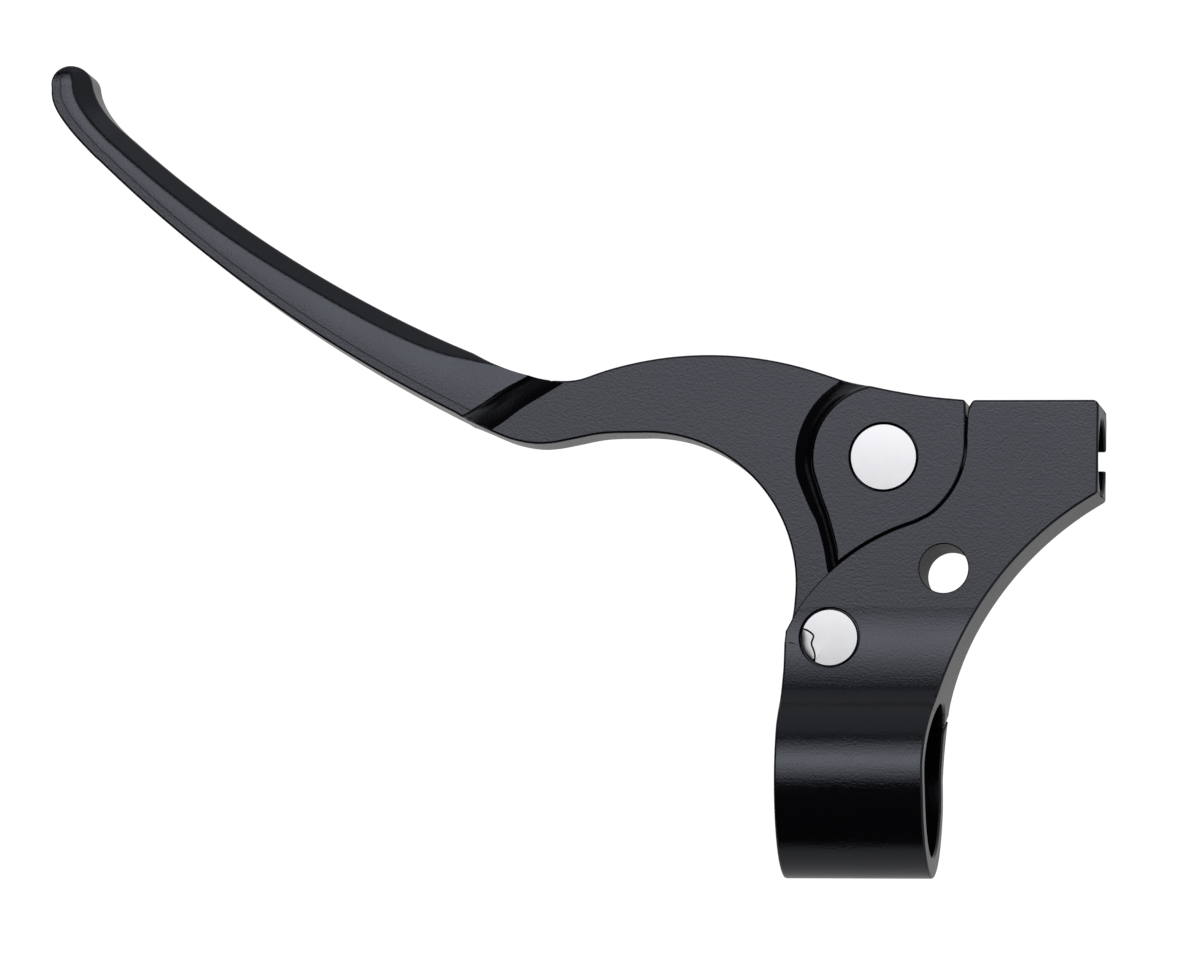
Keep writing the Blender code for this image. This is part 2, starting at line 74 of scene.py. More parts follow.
# shader maths
class Wire:
    # one output socket, so that node maths can be written as sums
    def __init__(self, graph, socket):
        self.graph = graph
        self.socket = socket

    def maths(self, operation, *values):
        return self.graph.node("ShaderNodeMath", {"operation": operation}, dict(enumerate(values)))

    def __add__(self, other):
        return self.maths("ADD", self, other)

    __radd__ = __add__

    def __sub__(self, other):
        return self.maths("SUBTRACT", self, other)

    def __rsub__(self, other):
        return self.maths("SUBTRACT", other, self)

    def __mul__(self, other):
        return self.maths("MULTIPLY", self, other)

    __rmul__ = __mul__


class Graph:
    # the node tree of one material or world
    def __init__(self, owner):
        owner.use_nodes = True
        self.tree = owner.node_tree
        self.tree.nodes.clear()

    def node(self, kind, settings=None, inputs=None, output=0):
        made = self.tree.nodes.new(kind)
        for name, value in (settings or {}).items():
            if name == "stops":
                ramp = made.color_ramp
                for index, (place, colour) in enumerate(value):
                    stop = ramp.elements[index] if index < 2 else ramp.elements.new(place)
                    stop.position = place
                    stop.color = (*colour, 1.0) if len(colour) == 3 else colour
            else:
                setattr(made, name, value)
        for name, value in (inputs or {}).items():
            socket = made.inputs[name]
            if isinstance(value, Wire):
                self.tree.links.new(value.socket, socket)
            else:
                socket.default_value = value
        return Wire(self, made.outputs[output]) if made.outputs else None

    def place(self, scale):
        # a point in the piece's own coordinates, in units of one over the scale
        spot = self.node("ShaderNodeTexCoord", output="Object")
        return self.node("ShaderNodeVectorMath", {"operation": "MULTIPLY"}, {0: spot, 1: scale})

    def part(self, place, axis):
        return self.node("ShaderNodeSeparateXYZ", None, {"Vector": place}, output=axis)

    def noise(self, place, scale, detail=2.0, rough=0.5):
        return self.node("ShaderNodeTexNoise", None, {
            "Vector": place, "Scale": scale, "Detail": detail, "Roughness": rough})

    def between(self, value, low, high, lowOut=0.0, highOut=1.0, smooth=True):
        kind = "SMOOTHSTEP" if smooth else "LINEAR"
        return self.node("ShaderNodeMapRange", {"interpolation_type": kind}, {
            "Value": value, "From Min": low, "From Max": high, "To Min": lowOut, "To Max": highOut})

    def blendColour(self, share, first, second):
        made = self.tree.nodes.new("ShaderNodeMix")
        made.data_type = "RGBA"
        sockets = [made.inputs[0], made.inputs[6], made.inputs[7]]
        for socket, value in zip(sockets, (share, first, second)):
            if isinstance(value, Wire):
                self.tree.links.new(value.socket, socket)
            elif socket is sockets[0]:
                socket.default_value = value
            else:
                socket.default_value = (*value, 1.0)
        return Wire(self, made.outputs[2])

    def bump(self, height, distance, strength=1.0):
        inputs = {"Height": height, "Distance": distance, "Strength": strength}
        return self.node("ShaderNodeBump", None, inputs)

    def surface(self, shader):
        self.node("ShaderNodeOutputMaterial", None, {"Surface": shader})


def finish(name, build):
    made = bpy.data.materials.new(name)
    build(Graph(made))
    return made


blackAnodised = {
    "colour": (0.0035, 0.0035, 0.0048),
    "worn": (0.006, 0.006, 0.008),
    "roughness": (0.158, 0.19),
    "speckle": 0.12,  # how much the grain changes the roughness
    "tint": (0.82, 0.86, 1.0, 1.0),
    "grain": 0.045,  # height of the blasted grain, mm
    "boredRoughness": (0.37, 0.47),  # inside drilled holes
    "boredGrain": 0.02,
}


def anodised(graph, brushing):
    # brushing is how often the drawn marks repeat along each axis, per mm
    recipe = blackAnodised
    spot = graph.place((1 / mm, 1 / mm, 1 / mm))
    fine = graph.noise(spot, 2.6, 3.0, 0.6)
    cloudy = graph.noise(spot, 0.09)
    drawn = graph.noise(graph.place(tuple(b / mm for b in brushing)), 1.0, 2.0, 0.6)
    roughness = graph.between(cloudy, 0.3, 0.7, *recipe["roughness"]) + (fine - 0.5) * recipe["speckle"]
    colour = graph.blendColour(graph.between(fine, 0.45, 0.8), recipe["colour"], recipe["worn"])
    shader = graph.node("ShaderNodeBsdfPrincipled", None, {
        "Base Color": colour, "Roughness": roughness, "IOR": 1.5, "Specular Tint": recipe["tint"],
        "Normal": graph.bump(fine * 0.6 + drawn * 0.4, recipe["grain"] * mm)})
    graph.surface(shader)


def boredAndMarkShade(graph):
    # the same black inside drilled holes, where the drill leaves it duller; on the steel pins it is painted
    # shade inside the stake marks
    recipe = blackAnodised
    marks = graph.noise(graph.place((0.5 / mm, 0.5 / mm, 6 / mm)), 1.0, 3.0, 0.6)
    shader = graph.node("ShaderNodeBsdfPrincipled", None, {
        "Base Color": graph.blendColour(marks, recipe["colour"], recipe["worn"]),
        "Roughness": graph.between(marks, 0.3, 0.7, *recipe["boredRoughness"]), "IOR": 1.3,
        "Normal": graph.bump(marks, recipe["boredGrain"] * mm, 0.6)})
    graph.surface(shader)


# bare metals: a slow stain mixes two colours and two roughnesses. A stain is a noise's scale, detail and
# roughness; a grain is a noise's scale and roughness, its height in mm and the bump's strength
steelRecipe = {
    "colours": ((0.40, 0.40, 0.415), (0.44, 0.44, 0.455)),
    "roughness": (0.16, 0.24),
    "stain": (0.35, 3.0, 0.6),
    "grain": (6.0, 0.6, 0.002, 0.35),
}
bronzeRecipe = {
    "colours": ((0.46, 0.28, 0.11), (0.33, 0.19, 0.08)),
    "roughness": (0.3, 0.42),
    "stain": (0.5, 3.0, 0.6),
    "turning": (0.4, 0.4, 9),
    "grain": (1.0, 0.5, 0.006, 0.5),
}
springRecipe = {
    "colours": ((0.055, 0.055, 0.06), (0.11, 0.105, 0.10)),
    "roughness": (0.26, 0.4),
    "stain": (0.8, 3.0, 0.6),
    "grain": (5.0, 0.5, 0.004, 0.5),
}
zincRecipe = {
    "colours": ((0.58, 0.59, 0.62), (0.47, 0.48, 0.50)),
    "roughness": (0.24, 0.36),
    "stain": (0.7, 3.0, 0.6),
    "spangle": (1.6, 0.05),
    "grain": (4.0, 0.5, 0.004, 0.5),
}


def metal(graph, recipe):
    spot = graph.place((1 / mm, 1 / mm, 1 / mm))
    stain = graph.noise(spot, *recipe["stain"])
    colour = graph.blendColour(graph.between(stain, 0.35, 0.7), *recipe["colours"])
    roughness = graph.between(stain, 0.3, 0.7, *recipe["roughness"])
    if "spangle" in recipe:
        scale, depth = recipe["spangle"]
        cells = graph.node("ShaderNodeTexVoronoi", None, {"Vector": spot, "Scale": scale}, output="Distance")
        roughness = roughness + cells * depth
    turning = recipe.get("turning", (1, 1, 1))
    scale, rough, height, strength = recipe["grain"]
    grain = graph.noise(graph.place(tuple(often / mm for often in turning)), scale, 2.0, rough)
    shader = graph.node("ShaderNodeBsdfPrincipled", None, {
        "Base Color": colour, "Metallic": 1.0, "Roughness": roughness,
        "Normal": graph.bump(grain, height * mm, strength)})
    graph.surface(shader)


materials = {
    "perch": finish("perchAnodised", lambda graph: anodised(graph, (2.2, 2.6, 2.6))),
    "boredAndMarkShade": finish("boredAnodisedAndMarkShade", boredAndMarkShade),
    "lever": finish("leverAnodised", lambda graph: anodised(graph, (2.0, 2.0, 2.0))),
    "steel": finish("polishedSteel", lambda graph: metal(graph, steelRecipe)),
    "bronze": finish("bearingBronze", lambda graph: metal(graph, bronzeRecipe)),
    "spring": finish("springSteel", lambda graph: metal(graph, springRecipe)),
    "zinc": finish("zincPlate", lambda graph: metal(graph, zincRecipe)),
}
say("finishes mixed")


# outlines
def at(x, y):
    return Vector((x, y)) * mm


def lay(points):
    return [at(*point) for point in points]


def arcLine(centre, radius, start, end, spacing=0.8 * mm):
    count = max(2, math.ceil(abs(math.radians(end - start)) * radius / spacing))
    turns = [math.radians(start + (end - start) * step / count) for step in range(count + 1)]
    return [Vector((centre[0] + radius * math.cos(turn), centre[1] + radius * math.sin(turn)))
            for turn in turns]


def curveThrough(points, count=24):
    # Catmull-Rom through every point
    last = len(points) - 1
    knots = [points[0] * 2 - points[1], *points, points[last] * 2 - points[last - 1]]
    line = []
    for index in range(last):
        a, b, c, d = knots[index:index + 4]
        for step in range(count):
            t = step / count
            bend = (2 * a - 5 * b + 4 * c - d) * t * t + (3 * b - a - 3 * c + d) * t ** 3
            line.append(b + 0.5 * ((c - a) * t + bend))
    return line + [points[last].copy()]


def evenly(line, spacing=0.9 * mm):
    # the same line with its points an even distance apart
    lengths = [0.0]
    for first, second in zip(line, line[1:]):
        lengths.append(lengths[-1] + (second - first).length)
    count = max(1, round(lengths[-1] / spacing))
    placed = []
    index = 0
    for step in range(count + 1):
        goal = lengths[-1] * step / count
        while index < len(line) - 2 and lengths[index + 1] < goal:
            index += 1
        gap = lengths[index + 1] - lengths[index]
        share = (goal - lengths[index]) / gap if gap else 0.0
        placed.append(line[index].lerp(line[index + 1], min(1.0, share)))
    return placed


def flow(points, spacing=0.9 * mm):
    return evenly(curveThrough(points), spacing)


def beside(line, distance):
    # the line at this distance to the left of its own direction
    moved = []
    for index, point in enumerate(line):
        along = (line[min(index + 1, len(line) - 1)] - line[max(index - 1, 0)]).normalized()
        moved.append(point + Vector((-along.y, along.x)) * distance)
    return moved


# solids
def addObject(name, bm):
    bmesh.ops.recalc_face_normals(bm, faces=bm.faces)
    mesh = bpy.data.meshes.new(name)
    bm.to_mesh(mesh)
    bm.free()
    made = bpy.data.objects.new(name, mesh)
    bpy.context.scene.collection.objects.link(made)
    return made


def stacked(name, rings):
    # a solid through rings of the same number of points
    bm = bmesh.new()
    rows = [[bm.verts.new(point) for point in ring] for ring in rings]
    count = len(rows[0])
    for low, high in zip(rows, rows[1:]):
        for index in range(count):
            after = (index + 1) % count
            bm.faces.new((low[index], low[after], high[after], high[index]))
    bm.faces.new(rows[0])
    bm.faces.new(rows[-1])
    return addObject(name, bm)


def slab(name, outline, low, high, turn=None):
    rings = [[Vector((point.x, point.y, level)) for point in outline] for level in (low, high)]
    if turn:
        rings = [[turn @ point for point in ring] for ring in rings]
    return stacked(name, rings)


def drilled(name, centre, axis, radius, start, end, sides=96):
    # a cylinder along an axis, between two distances from the centre
    turn = axis.to_track_quat("Z", "Y").to_matrix()
    circle = [Vector((math.cos(2 * math.pi * n / sides), math.sin(2 * math.pi * n / sides), 0)) * radius
              for n in range(sides)]
    middle = Vector(centre)
    return stacked(name, [[middle + turn @ point + axis.normalized() * reach for point in circle]
                          for reach in (start, end)])


def turnedSolid(name, centre, axis, profile, sides=96):
    # (radius, reach) pairs spun round the axis: a row of rings, closed at both ends
    turn = axis.to_track_quat("Z", "Y").to_matrix()
    middle = Vector(centre)
    rings = []
    for radius, reach in profile:
        ring = []
        for n in range(sides):
            angle = 2 * math.pi * n / sides
            ring.append(middle + turn @ Vector((math.cos(angle) * radius, math.sin(angle) * radius, reach)))
        rings.append(ring)
    return stacked(name, rings)


def work(piece, other, operation="DIFFERENCE"):
    step = piece.modifiers.new(other.name, "BOOLEAN")
    step.operation = operation
    step.object = other
    step.solver = "EXACT"


def settle(piece):
    # applies the joins and cuts, and clears away the tools
    tools = [step.object for step in piece.modifiers if step.type == "BOOLEAN"]
    graph = bpy.context.evaluated_depsgraph_get()
    mesh = bpy.data.meshes.new_from_object(piece.evaluated_get(graph))
    piece.modifiers.clear()
    piece.data = mesh
    for tool in tools:
        bpy.data.objects.remove(tool)
    bm = bmesh.new()
    bm.from_mesh(mesh)
    bmesh.ops.remove_doubles(bm, verts=bm.verts, dist=0.004 * mm)
    bmesh.ops.dissolve_degenerate(bm, edges=bm.edges, dist=0.004 * mm)
    bm.to_mesh(mesh)
    bm.free()


def softEdges(piece, width, limit=32, segments=2, crease=12, share=None):
    # rounds the edges sharper than the limit; share gives some of them a part of the width
    for polygon in piece.data.polygons:
        polygon.use_smooth = True
    piece.data.set_sharp_from_angle(angle=math.radians(crease))
    bm = bmesh.new()
    bm.from_mesh(piece.data)
    weights = bm.edges.layers.float.new("bevel_weight_edge")
    for edge in bm.edges:
        if len(edge.link_faces) == 2 and edge.calc_face_angle() > math.radians(limit):
            middle = (edge.verts[0].co + edge.verts[1].co) / 2
            edge[weights] = share(middle) if share else 1.0
    bm.to_mesh(piece.data)
    bm.free()
    bevel = piece.modifiers.new("soft edges", "BEVEL")
    bevel.width = width
    bevel.segments = segments
    bevel.limit_method = "WEIGHT"
    bevel.use_clamp_overlap = False
    bevel.miter_outer = "MITER_ARC"
    weigh = piece.modifiers.new("flat faces", "WEIGHTED_NORMAL")
    weigh.keep_sharp = True
    weigh.weight = 90


def dress(piece, finishName, body, slot, *nodes, dullAndShaded=None):
    piece.data.materials.clear()
    piece.data.materials.append(materials[finishName])
    # second material: the duller bored finish in holes, and painted shade inside the pins' stake marks
    if dullAndShaded:
        piece.data.materials.append(materials["boredAndMarkShade"])
        for polygon in piece.data.polygons:
            polygon.material_index = int(dullAndShaded(polygon))
    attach(piece, body)
    if nodes:
        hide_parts(*nodes)


# camera, light and floor
view = {
    "from": Vector((230.3, -175.7, 2000.0)) * mm,
    "towards": Vector((-45.789, 50.017, 0.0)) * mm,
    "roll": 0.01431,
    "lens": 373.56,
}


def setCamera():
    camera = bpy.data.cameras.new("camera")
    camera.lens = view["lens"]
    camera.sensor_width = 36
    camera.sensor_fit = "HORIZONTAL"
    camera.clip_start = 0.1
    camera.clip_end = 100
    holder = bpy.data.objects.new("camera", camera)
    bpy.context.scene.collection.objects.link(holder)
    away = (view["from"] - view["towards"]).normalized()
    right = Vector((0, 1, 0)).cross(away).normalized()
    up = away.cross(right)
    turned = Matrix.Rotation(view["roll"], 3, away)
    axes = Matrix((turned @ right, turned @ up, away)).transposed()
    holder.matrix_world = Matrix.Translation(view["from"]) @ axes.to_4x4()
    bpy.context.scene.camera = holder


setCamera()

studio = {
    "lampDistance": 1.5,
    "lampTilt": 19.0,  # degrees from overhead, away from the rider
    "lampSize": (1.1, 1.25),
    "lampAside": -0.10,
    "lampGlow": (3.8, 1.15),  # in its middle and further out
    "lampFall": 0.36,  # how far out it has fallen, as a share of the lamp
    "lampSpread": (0.5, 1.0, 1.0),  # the glow falls off half as fast sideways
    "floorSize": (9, 9),
    "floorDepth": 0.002,
    "tableDepth": 0.003,
    "floorGlow": (0.42, 0.34),  # before the part and in its shade on the inboard side
    "floorShade": (0.005, 0.025),  # where that shade starts and is full
    "paperGlow": 1.05,
    "domeRadius": 5,
    "skyGlow": 0.015,
    "frontWall": ((0.74, 0.79), 0.44),  # where a dim wall stands, as a direction's share, and its glow
    "sideWall": ((0.3, 0.7), 0.4),
}


def glowing(name, strength):
    # strength is a number, or a function that works it out with the material's nodes
    made = bpy.data.materials.new(name)
    graph = Graph(made)
    glow = strength(graph) if callable(strength) else strength
    graph.surface(graph.node("ShaderNodeEmission", None, {"Color": (1, 1, 1, 1), "Strength": glow}))
    return made


def lampGlow(graph):
    spot = graph.node("ShaderNodeTexCoord", output="Object")
    narrow = graph.node("ShaderNodeVectorMath", {"operation": "MULTIPLY"}, {0: spot, 1: studio["lampSpread"]})
    away = graph.node("ShaderNodeVectorMath", {"operation": "LENGTH"}, {0: narrow}, output="Value")
    return graph.between(away, 0.0, studio["lampFall"], *studio["lampGlow"], smooth=False)


def tableGlow(graph):
    place = graph.node("ShaderNodeNewGeometry", output="Position")
    return graph.between(graph.part(place, "X"), *studio["floorShade"], *studio["floorGlow"])


def flat(name, size, middle, normal):
    bm = bmesh.new()
    bmesh.ops.create_grid(bm, x_segments=1, y_segments=1, size=0.5)
    made = addObject(name, bm)
    made.scale = (size[0], size[1], 1)
    made.rotation_euler = normal.to_track_quat("Z", "Y").to_euler()
    made.location = middle
    return made


def setStudio():
    tilt = math.radians(studio["lampTilt"])
    aim = Vector((0.0, math.sin(tilt), math.cos(tilt)))
    middle = aim * studio["lampDistance"] + xAxis * studio["lampAside"]
    lamp = flat("lamp", studio["lampSize"], middle, -aim)
    lamp.data.materials.append(glowing("lampCloth", lampGlow))
    lamp.visible_camera = False

    # the camera sees the white floor and dome, and the part is lit by the dimmer table
    low = cadBox[0].z
    floor = flat("floor", studio["floorSize"], Vector((0, 0, low - studio["floorDepth"])), zAxis)
    floor.data.materials.append(glowing("whitePaper", studio["paperGlow"]))
    table = flat("table", studio["floorSize"], Vector((0, 0, low - studio["tableDepth"])), zAxis)
    table.data.materials.append(glowing("paperBounce", tableGlow))
    table.visible_camera = False
    bm = bmesh.new()
    bmesh.ops.create_uvsphere(bm, u_segments=32, v_segments=16, radius=studio["domeRadius"])
    dome = addObject("backdrop", bm)
    dome.data.materials.append(glowing("whiteWall", studio["paperGlow"]))
    dome.visible_shadow = False
    for shown in (floor, dome):
        shown.visible_diffuse = False
        shown.visible_glossy = False

    world = bpy.data.worlds.new("studio")
    bpy.context.scene.world = world
    graph = Graph(world)
    where = graph.node("ShaderNodeTexCoord", output="Generated")
    glow = studio["skyGlow"]
    for axis, wall in (("Y", "frontWall"), ("X", "sideWall")):
        (start, full), strength = studio[wall]
        glow = graph.between(graph.part(where, axis), start, full) * strength + glow
    sky = graph.node("ShaderNodeBackground", None, {"Color": (1, 1, 1, 1), "Strength": glow})
    graph.node("ShaderNodeOutputWorld", None, {"Surface": sky})
    bpy.context.scene.view_settings.view_transform = "Standard"


setStudio()
say("studio ready")

# perch
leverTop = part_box("lever")[1].z  # half the blade's depth
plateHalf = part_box("anchor_pin")[1].z + 0.05 * mm
perchLow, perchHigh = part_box("perch")

perchSizes = {
    "barRadius": 12.7 * mm,
    "ringRadius": 16.2 * mm,
    "flankRadius": 35.6 * mm,
    "flankStart": 26.7 * mm,
    "flankFoot": 8.0 * mm,
    "flankLip": 1.4 * mm,  # how far the hollow runs on under the plate's face
    "lipDepth": 0.03 * mm,
    "backCorner": 3.0 * mm,
    "frontCorner": 0.6 * mm,
    "cableLine": 53.7 * mm,
    "ferruleRadius": 6.35 * mm,
    "ferruleDepth": 13.0 * mm,
    "cableHole": 3.6 * mm,
    "cableSlit": 1.6 * mm,
    "mirrorHole": Vector((14.4, 34.5, 0)) * mm,
    "mirrorRadius": 4.05 * mm,
    "pivotHole": 4.17 * mm,
    "pinRecess": 5.05 * mm,
    "recessDepth": 1.3 * mm,
    "spotFace": 6.3 * mm,
    "tailRoom": 7.8 * mm,  # the pocket's radius round the pivot
    "pocketHalf": 4.75 * mm,
    "pocketGap": 0.5 * mm,
    "blankHalf": 19 * mm,
    "slitDepth": 14 * mm,
    "ringSlit": (11 * mm, 30 * mm),
    "slitAngle": -45,
    "slitHalf": 0.5 * mm,
    "lugAlong": 7.2 * mm,
    "lugHalf": 4.4 * mm,
    "lugOut": (10 * mm, 24 * mm),
    "lugAcross": (-6.5 * mm, 9.0 * mm),
    "lugCorner": 1.6 * mm,
    "screwOut": 19.5 * mm,
    "screwHole": 2.8 * mm,
    "screwReach": (-20 * mm, 7.8 * mm),
    "edge": 0.35 * mm,
}

# the lever's sizes, some of which shape the perch's pocket
leverSizes = {
    "neckHalf": 4.5 * mm,
    "seatGap": 0.35 * mm,
    "tailRadius": 7.3 * mm,
    "cheekRadius": 11.95 * mm,
    "gripBand": 1.6 * mm,  # from the grip edge to the fine line
    "scribe": (0.1 * mm, 0.025 * mm),  # half width and depth of the fine line along the blade
    "outerFall": 0.9,  # how steeply the outer facet falls
    "shoulder": 1.6 * mm,  # rounding between the upper face and that facet
    "crown": 0.047,  # fall of the upper face towards the outer facet, as a share of its width
    "stepCove": 5.0 * mm,
    "cheekCove": (4.6 * mm, 3.0 * mm),  # round the head and down by the seat
    "coveFoot": 15,  # degrees at which a cove meets the neck's flat
    "tipReach": 3.2 * mm,
    "eyeSlot": 3.2 * mm,
    "eyeRoom": 8.4 * mm,
    "anchorHole": 4.96 * mm,
    "anchorHead": 5.76 * mm,
    "anchorHeadDepth": 2.5 * mm,
    "bushHole": 5.7 * mm,
    "washerRoom": 6.5 * mm,
    "washerDepth": 0.9 * mm,
    "edge": 0.35 * mm,
}


def seatLine(gap=0.0):
    # where the lever's cheeks close on the perch, from the ear to the notch
    earEnd = at(-11.7, 24.1)
    long = arcLine(at(20.0, 7.7), 35.9 * mm, 147.4, 107)
    turn = arcLine(at(2.8, 55.4), 15.2 * mm, -53, 4)
    line = evenly(long + turn + lay([(18.1, 60.0)]))
    return [earEnd] + beside(line, gap)


def acrossSlit(out, over, x=0.0):
    # a point by its distance out along the pinch slit, and across it
    angle = math.radians(perchSizes["slitAngle"])
    return Vector((x, out * math.cos(angle) - over * math.sin(angle),
                   out * math.sin(angle) + over * math.cos(angle)))


def slitBlock(name, out, over, middle, halfWidth, rounding=0.0):
    corners = []
    if rounding:
        for (cx, cy, start) in ((out[1], over[1], 0), (out[0], over[1], 90), (out[0], over[0], 180),
                                (out[1], over[0], 270)):
            inX = cx - rounding * (1 if start in (0, 270) else -1)
            inY = cy - rounding * (1 if start in (0, 90) else -1)
            corners += arcLine((inX, inY), rounding, start, start + 90, 0.3 * mm)
    else:
        corners = [Vector((out[0], over[0])), Vector((out[1], over[0])), Vector((out[1], over[1])),
                   Vector((out[0], over[1]))]
    rings = [[acrossSlit(corner.x, corner.y, middle + side * halfWidth) for corner in corners]
             for side in (-1, 1)]
    return stacked(name, rings)


def perchProfile():
    # seen along the bar: ring, hollow flanks and plate, as (y, z)
    size = perchSizes
    ring = size["ringRadius"]
    big = size["flankRadius"]
    small = size["flankFoot"]
    floor = plateHalf - size["lipDepth"]
    far = Vector((size["flankStart"], floor + big))
    # the foot's centre lies where it touches both the ring and the big hollow
    reach = far.length
    toFoot = ring + small
    across = (reach ** 2 + toFoot ** 2 - (big - small) ** 2) / (2 * reach * toFoot)
    angle = math.atan2(far.y, far.x) - math.acos(across)
    foot = Vector((math.cos(angle), math.sin(angle))) * toFoot
    meet = (foot - far).normalized()
    meetAngle = math.degrees(math.atan2(meet.y, meet.x))
    lip = math.degrees(math.asin(size["flankLip"] / big))
    onRing = math.degrees(angle)
    upperFoot = arcLine(foot, small, onRing + 180, meetAngle + 360, 0.4 * mm)
    upperHollow = arcLine(far, big, meetAngle + 360, 270 + lip, 0.6 * mm)
    top = size["flankStart"] + size["flankLip"]
    upper = upperFoot + upperHollow[1:] + [Vector((top, plateHalf))]
    lower = [Vector((point.x, -point.y)) for point in upper]
    front = arcLine((perchHigh.y - size["frontCorner"], plateHalf - size["frontCorner"]), size["frontCorner"],
                    90, 0, 0.3 * mm)
    back = arcLine((perchHigh.y - size["backCorner"], size["backCorner"] - plateHalf), size["backCorner"],
                   0, -90, 0.5 * mm)
    around = arcLine((0, 0), ring, 360 - onRing, onRing, 0.6 * mm)[::-1]
    return around[::-1][1:-1] + upper + front + back + lower[::-1]


def perchOutline():
    end = -18 * mm
    left = perchLow.x
    top = perchHigh.y / mm
    right = perchHigh.x / mm
    seat = seatLine()
    ear = [Vector((left, 8 * mm)), at(-12.1, 13), at(-11.9, 18), at(-11.9, 22)]
    notch = lay([(18.3, 61.3), (18.9, top)])
    corner = lay([(right - 0.9, top), (right - 0.25, top - 0.25), (right, top - 0.9)])
    bottom = [Vector((-left, -4 * mm)), Vector((-left, end)), Vector((left, end)), Vector((left, 0.0))]
    neck = arcLine(at(67.0, -0.6), 54.85 * mm, 119.8, 178)
    return ear + seat + notch + corner + neck + bottom


def tailLine():
    # the lever's edge inside the perch, from the tail up to the seat
    start = pivot.xy + Vector((leverSizes["tailRadius"] / mm, 0)) * mm
    return flow([start] + lay([(3.8, 27.7), (5.5, 33.6), (8.7, 39.3), (11.3, 43.0)]))


def pocketOutline():
    tail = perchSizes["tailRoom"]
    wall = beside(tailLine(), -perchSizes["pocketGap"])
    openSide = -24 * mm
    floor = pivot.y - tail
    return ([Vector((openSide, floor))] + arcLine(pivot, tail, -90, 0)[:-1] + wall
            + [at(12.5, 46.0), Vector((openSide, 46 * mm))])


seatPath = seatLine()
# places where a full rounding would not fit: the step's outer end and the blade's tip, with how far it fades
tightPlaces = ((at(-56.0, 66.9), 0.25, 6 * mm), (at(-134.5, 119.2), 0.0, 7 * mm))


def edgeShare(spot):
    # the pins' holes are left nearly sharp, and the edges along the seat are small
    share = 1.0
    for centre, least, reach in tightPlaces:
        share = min(share, max(least, (spot.xy - centre).length / reach))
    spotFace = (5.2 if spot.z > 0 else 7.6) * mm
    for centre, radius in ((pivot, spotFace), (anchor, 6.0 * mm)):
        if (spot.xy - centre.xy).length < radius:
            share = 0.25
    if (spot.xy - perchSizes["mirrorHole"].xy).length < perchSizes["mirrorRadius"] + 0.2 * mm:
        share = 0.5
    if any((spot.xy - point).length < 0.8 * mm for point in seatPath):
        share = 0.5
    return share


def inHole(polygon):
    # walls of the upright holes and of the narrow gap along the seat
    if abs(polygon.normal.z) > 0.2:
        return False
    spot = polygon.center.xy
    mirrorHole = (perchSizes["mirrorHole"], perchSizes["mirrorRadius"])
    for centre, radius in (mirrorHole, (pivot, perchSizes["pinRecess"]), (anchor, 5.8 * mm)):
        if (spot - centre.xy).length < radius + 0.1 * mm:
            return True
    return any((spot - point).length < 0.7 * mm for point in seatPath)


def makePerch():
    size = perchSizes
    perch = slab("perchBody", perchOutline(), -size["blankHalf"], size["blankHalf"])
    alongBar = Matrix(((0, 0, 1), (1, 0, 0), (0, 1, 0)))
    work(perch, slab("flanks", perchProfile(), -30 * mm, 60 * mm, alongBar), "INTERSECT")
    lug = slitBlock("pinchLug", size["lugOut"], size["lugAcross"], size["lugAlong"], size["lugHalf"],
                    size["lugCorner"])
    work(perch, lug, "UNION")
    far = 80 * mm
    cable = Vector((0, size["cableLine"], 0))
    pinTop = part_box("pivot_pin")[1].z
    screwLine = acrossSlit(size["screwOut"], 0, size["lugAlong"])
    ends = (12 * mm, perchHigh.x + 2 * mm)
    sides = (cable.y - size["cableSlit"], cable.y + size["cableSlit"])
    slit = [Vector((ends[0], sides[0])), Vector((ends[1], sides[0])), Vector((ends[1], sides[1])),
            Vector((ends[0], sides[1]))]
    half = size["pocketHalf"]
    for tool in (
        drilled("barBore", (0, 0, 0), xAxis, size["barRadius"], -far, far, 160),
        slab("tailPocket", pocketOutline(), -half, half),
        drilled("pivotHole", pivot, zAxis, size["pivotHole"], -far, far),
        drilled("pinRecess", pivot, zAxis, size["pinRecess"], pinTop - size["recessDepth"], far),
        drilled("spotFace", pivot, zAxis, size["spotFace"], -far, -plateHalf),
        drilled("mirrorHole", size["mirrorHole"], zAxis, size["mirrorRadius"], -far, far),
        drilled("ferruleBore", cable, xAxis, size["ferruleRadius"], perchHigh.x - size["ferruleDepth"], far),
        drilled("cableHole", cable, xAxis, size["cableHole"], 10 * mm, far, 64),
        slab("cableSlit", slit, -size["slitDepth"], 0),
        slitBlock("ringSlit", size["ringSlit"], (-size["slitHalf"], size["slitHalf"]), 0, 20 * mm),
        drilled("screwHole", screwLine, acrossSlit(0, 1), size["screwHole"], *size["screwReach"], 48),
    ):
        work(perch, tool)
    settle(perch)
    softEdges(perch, size["edge"], share=edgeShare)
    dress(perch, "perch", "perch", "black_anodised", "perch", dullAndShaded=inHole)


makePerch()
say("perch milled")

# lever
# along the blade from tip to step: share of the way, half depth, outer facet's share of the width
bladeGauge = [(0.0, 7.15, 0.44), (0.2, 7.5, 0.41), (0.4, 7.85, 0.37), (0.6, 8.15, 0.31), (0.8, 8.35, 0.28),
              (0.92, 8.4, 0.22), (1.0, 8.4, 0.11)]
